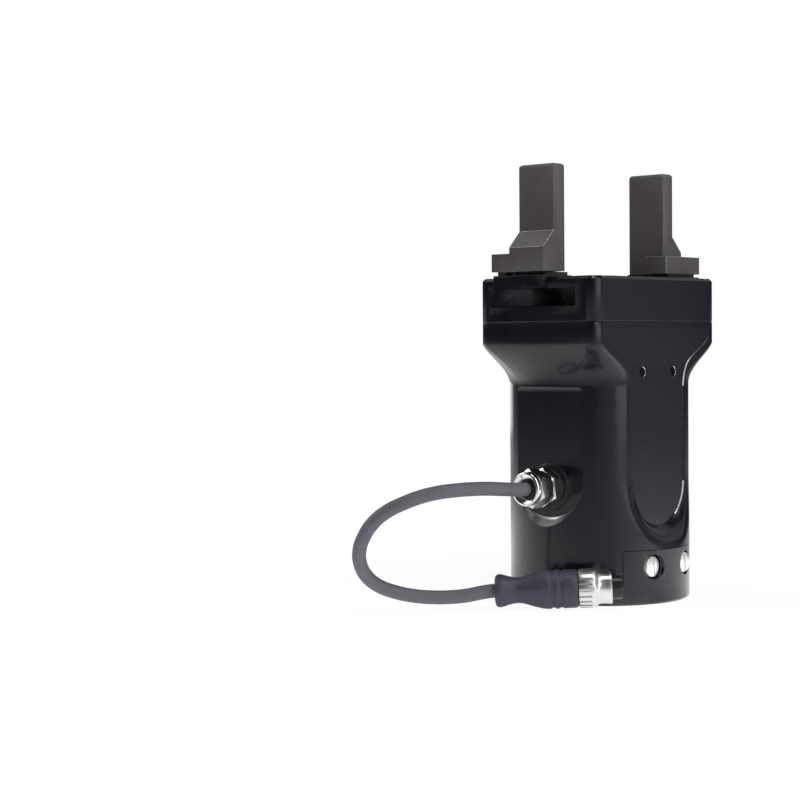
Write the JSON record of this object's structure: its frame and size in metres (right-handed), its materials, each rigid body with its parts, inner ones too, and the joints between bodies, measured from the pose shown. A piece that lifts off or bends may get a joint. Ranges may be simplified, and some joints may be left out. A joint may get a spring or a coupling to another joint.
{
  "type": "electric parallel gripper",
  "caption": "Electric parallel gripper: round barrel flaring to a long head, rack-and-pinion slides, stepped fingers, base flange with clamp tab, side cable with round plug.",
  "frame": {"origin": "centre of the base flange's underside, where the gripper sits on the robot's wrist", "axes": "+Z from the wrist to the fingertips, +X from the cable side to the far end, along the jaws' travel; the left jaw at -X moves towards +X as it closes"},
  "size_m": [0.1592, 0.0794, 0.1788],
  "materials": {
    "body_black": "satin black anodised",
    "finger_grey": "satin dark grey anodised",
    "plain_steel": "ground",
    "gearhead_metal": "turned",
    "screw_black": "black oxide",
    "nickel": "bright nickel plating",
    "bronze": "hobbed",
    "copper": "enamelled wire",
    "motor_black": "black coated",
    "circuit_board": "solder mask",
    "seal_rubber": "moulded",
    "cable_jacket": "matt extruded jacket",
    "plug_jacket": "matt moulding",
    "plug_insert_plastic": "moulded"
  },
  "bodies": {
    "base": {"base_flange": "body_black", "clamp_screws": "nickel", "bottom_plate": "plain_steel", "bottom_screws": "plain_steel", "housing": "body_black", "head_cover": "body_black", "cover_screws": "screw_black", "guide_plate": "plain_steel", "plate_screws": "screw_black", "rails": "plain_steel", "rail_screws": "screw_black", "gearhead_case": "gearhead_metal", "case_screws": "screw_black", "ring_gear": "bronze", "shaft_bearings": "plain_steel", "motor_flange": "gearhead_metal", "flange_screws": "screw_black", "motor_can": "motor_black", "stator_core": "plain_steel", "windings": "copper", "motor_bearings": "plain_steel", "encoder_board": "circuit_board", "encoder_posts": "plain_steel", "drive_board": "circuit_board", "board_posts": "plain_steel", "gland_seal": "seal_rubber", "gland_body": "nickel", "gland_dome": "nickel", "gland_nut": "nickel", "cord": "cable_jacket", "plug_grip": "plug_jacket", "plug_ring": "nickel", "plug_insert": "plug_insert_plastic", "plug_pins": "bronze"},
    "pinion_shaft": {"planet_carrier": "plain_steel", "planet_pins": "plain_steel", "pinion": "plain_steel", "pinion_clip": "screw_black", "bearing_hubs": "plain_steel"},
    "rotor": {"motor_shaft": "plain_steel", "sun_gear": "bronze", "rotor_magnets": "motor_black", "encoder_magnet": "plain_steel", "motor_bearing_hubs": "plain_steel"},
    "planet_1": {"planet_gear_1": "bronze"},
    "planet_2": {"planet_gear_2": "bronze"},
    "planet_3": {"planet_gear_3": "bronze"},
    "jaw_left": {"slide_left": "body_black", "rack_left": "plain_steel", "guide_blocks_left": "plain_steel", "slide_screws_left": "plain_steel", "finger_left": "finger_grey", "finger_screws_left": "screw_black"},
    "jaw_right": {"slide_right": "body_black", "rack_right": "plain_steel", "guide_blocks_right": "plain_steel", "slide_screws_right": "plain_steel", "finger_right": "finger_grey", "finger_screws_right": "screw_black"}
  },
  "joints": [
    {"name": "jaw_left_slide", "type": "slide", "parent": "base", "child": "jaw_left", "axis": [1, 0, 0], "range_m": [0, 0.025]},
    {"name": "jaw_right_slide", "type": "slide", "parent": "base", "child": "jaw_right", "axis": [-1, 0, 0], "range_m": [0, 0.025]},
    {"name": "pinion_turn", "type": "hinge", "parent": "base", "child": "pinion_shaft", "pos_m": [0, 0, 0.11], "axis": [0, 0, -1], "range_deg": [0, 179.05]},
    {"name": "rotor_turn", "type": "hinge", "parent": "base", "child": "rotor", "pos_m": [0, 0, 0.06], "axis": [0, 0, -1], "range_deg": [0, 895.3]},
    {"name": "planet_1_turn", "type": "hinge", "parent": "pinion_shaft", "child": "planet_1", "pos_m": [0.01125, 0, 0.09], "axis": [0, 0, -1], "range_deg": [-477.5, 0]},
    {"name": "planet_2_turn", "type": "hinge", "parent": "pinion_shaft", "child": "planet_2", "pos_m": [-0.00562, 0.00974, 0.09], "axis": [0, 0, -1], "range_deg": [-477.5, 0]},
    {"name": "planet_3_turn", "type": "hinge", "parent": "pinion_shaft", "child": "planet_3", "pos_m": [-0.00562, -0.00974, 0.09], "axis": [0, 0, -1], "range_deg": [-477.5, 0]}
  ],
  "couplings": [
    {"joint": "jaw_right_slide", "follows": "jaw_left_slide", "ratio": 1},
    {"joint": "pinion_turn", "follows": "jaw_left_slide", "rad_per_m": 125},
    {"joint": "rotor_turn", "follows": "jaw_left_slide", "rad_per_m": 625},
    {"joint": "planet_1_turn", "follows": "jaw_left_slide", "rad_per_m": -333.33},
    {"joint": "planet_2_turn", "follows": "jaw_left_slide", "rad_per_m": -333.33},
    {"joint": "planet_3_turn", "follows": "jaw_left_slide", "rad_per_m": -333.33}
  ]
}
